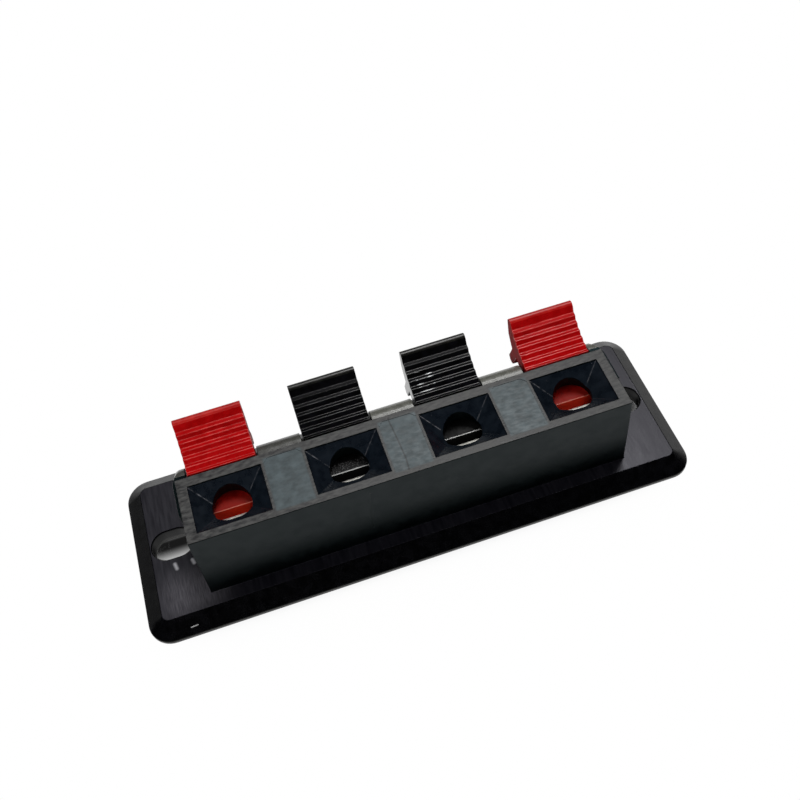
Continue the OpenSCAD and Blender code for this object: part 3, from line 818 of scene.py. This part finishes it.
def add_stage(floor_z):
    """White floor, which glows for the eye and for mirrors and is lit by the lamps for the rest."""
    material = new_material("floor")
    tree = material.node_tree
    shader = shader_of(material)
    shader.inputs["Base Color"].default_value = (0.85, 0.85, 0.85, 1)
    shader.inputs["Roughness"].default_value = 0.9
    glow = tree.nodes.new("ShaderNodeEmission")
    put(tree, glow.inputs["Strength"], floor_glow(tree))
    rays = tree.nodes.new("ShaderNodeLightPath")
    seen = calc(tree, "MAXIMUM", rays.outputs["Is Camera Ray"], rays.outputs["Is Glossy Ray"])
    mix = tree.nodes.new("ShaderNodeMixShader")
    put(tree, mix.inputs[0], seen)
    put(tree, mix.inputs[1], shader.outputs[0])
    put(tree, mix.inputs[2], glow.outputs[0])
    put(tree, tree.nodes["Material Output"].inputs["Surface"], mix.outputs[0])
    mesh = bpy.data.meshes.new("floor")
    corner_highlights = [(x * FLOOR_HALF, y * FLOOR_HALF, floor_z) for x, y in ((-1, -1), (1, -1), (1, 1), (-1, 1))]
    mesh.from_pydata(corner_highlights, [], [(0, 1, 2, 3)])
    mesh.materials.append(material)
    add_object("floor", mesh)


def add_lamp(name, place, size, power):
    """Square lamp that points at the origin."""
    data = bpy.data.lights.new(name, "AREA")
    data.size = size
    data.energy = power
    lamp = add_object(name, data)
    lamp.location = place
    lamp.rotation_euler = (-Vector(place)).to_track_quat("-Z", "Y").to_euler()
    return lamp


def add_light():
    """Room that is dark on the camera's side and dim behind, with a soft lamp overhead and one in front.

    The front lamp gives no reflections, so that gloss there still shows the dark room.
    """
    world = bpy.data.worlds.new("world")
    bpy.context.scene.world = world
    world.use_nodes = True
    tree = world.node_tree
    x, y, z = axes(tree, "Generated", 1.0)
    room = ramp(tree, z, greys(ROOM_LEVELS))
    room = calc(tree, "MULTIPLY", room, span(tree, y, *ROOM_TURN, ROOM_FRONT, 1.0))
    room = calc(tree, "MULTIPLY", room, span(tree, x, -ROOM_SIDE[0], -ROOM_SIDE[1], 1.0, ROOM_LEFT))
    room = calc(tree, "MULTIPLY", room, span(tree, x, *ROOM_SIDE, 1.0, ROOM_RIGHT))
    rays = tree.nodes.new("ShaderNodeLightPath")
    background = tree.nodes["Background"]
    background.inputs["Color"].default_value = (1, 1, 1, 1)
    put(tree, background.inputs["Strength"], calc(tree, "MAXIMUM", room, rays.outputs["Is Camera Ray"]))
    add_lamp("overhead", KEY_PLACE, KEY_SIZE, KEY_POWER)
    add_lamp("front_fill", FILL_PLACE, FILL_SIZE, FILL_POWER).visible_glossy = False


bpy.context.scene.view_settings.view_transform = "Standard"
clear_scene()
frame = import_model()
cad_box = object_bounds()
solids = frame["nodes"]

housing_finishes = [top_finish(), funnel_finish(), flat_finish(), bevel_finish(), wall_finish(),
                    shoulder_finish()]
cover_finish = moulded("cover_plastic", (0.010, 0.010, 0.010), (0.018, 0.018, 0.019), (0.4, 0.55),
                       cloud=1.0, grain=0.2, depth=0.008)
lever_finishes = {"red": red_lever(), "black": black_lever()}
tin = contact_finish()
steel = metal("spring_steel", (0.5, 0.5, 0.5), (0.65, 0.65, 0.65), (0.25, 0.35))

dress(solids["housing"], "housing", "housing_shell", "base", housing_finishes,
      HOUSING_ROUND, housing_region, hidden=inside_block)
dress(solids["back_cover"], "back_cover", "cover_plate", "base", [cover_finish],
      HOUSING_ROUND, hidden=inside_cover)
for i, colour in LEVER_COLOURS.items():
    lever = f"lever_{i}"
    contact = f"contact_{i}"
    dress(solids[lever], lever, f"push_lever_{i}", lever, lever_finishes[colour],
          LEVER_ROUND, lever_region, EDGE, inside_pocket)
    dress(solids[contact], contact, f"contact_strip_{i}", "base", [tin], METAL_ROUND)
    coil_spring(i, steel)

add_camera()
add_stage(cad_box[0][2])
add_light()
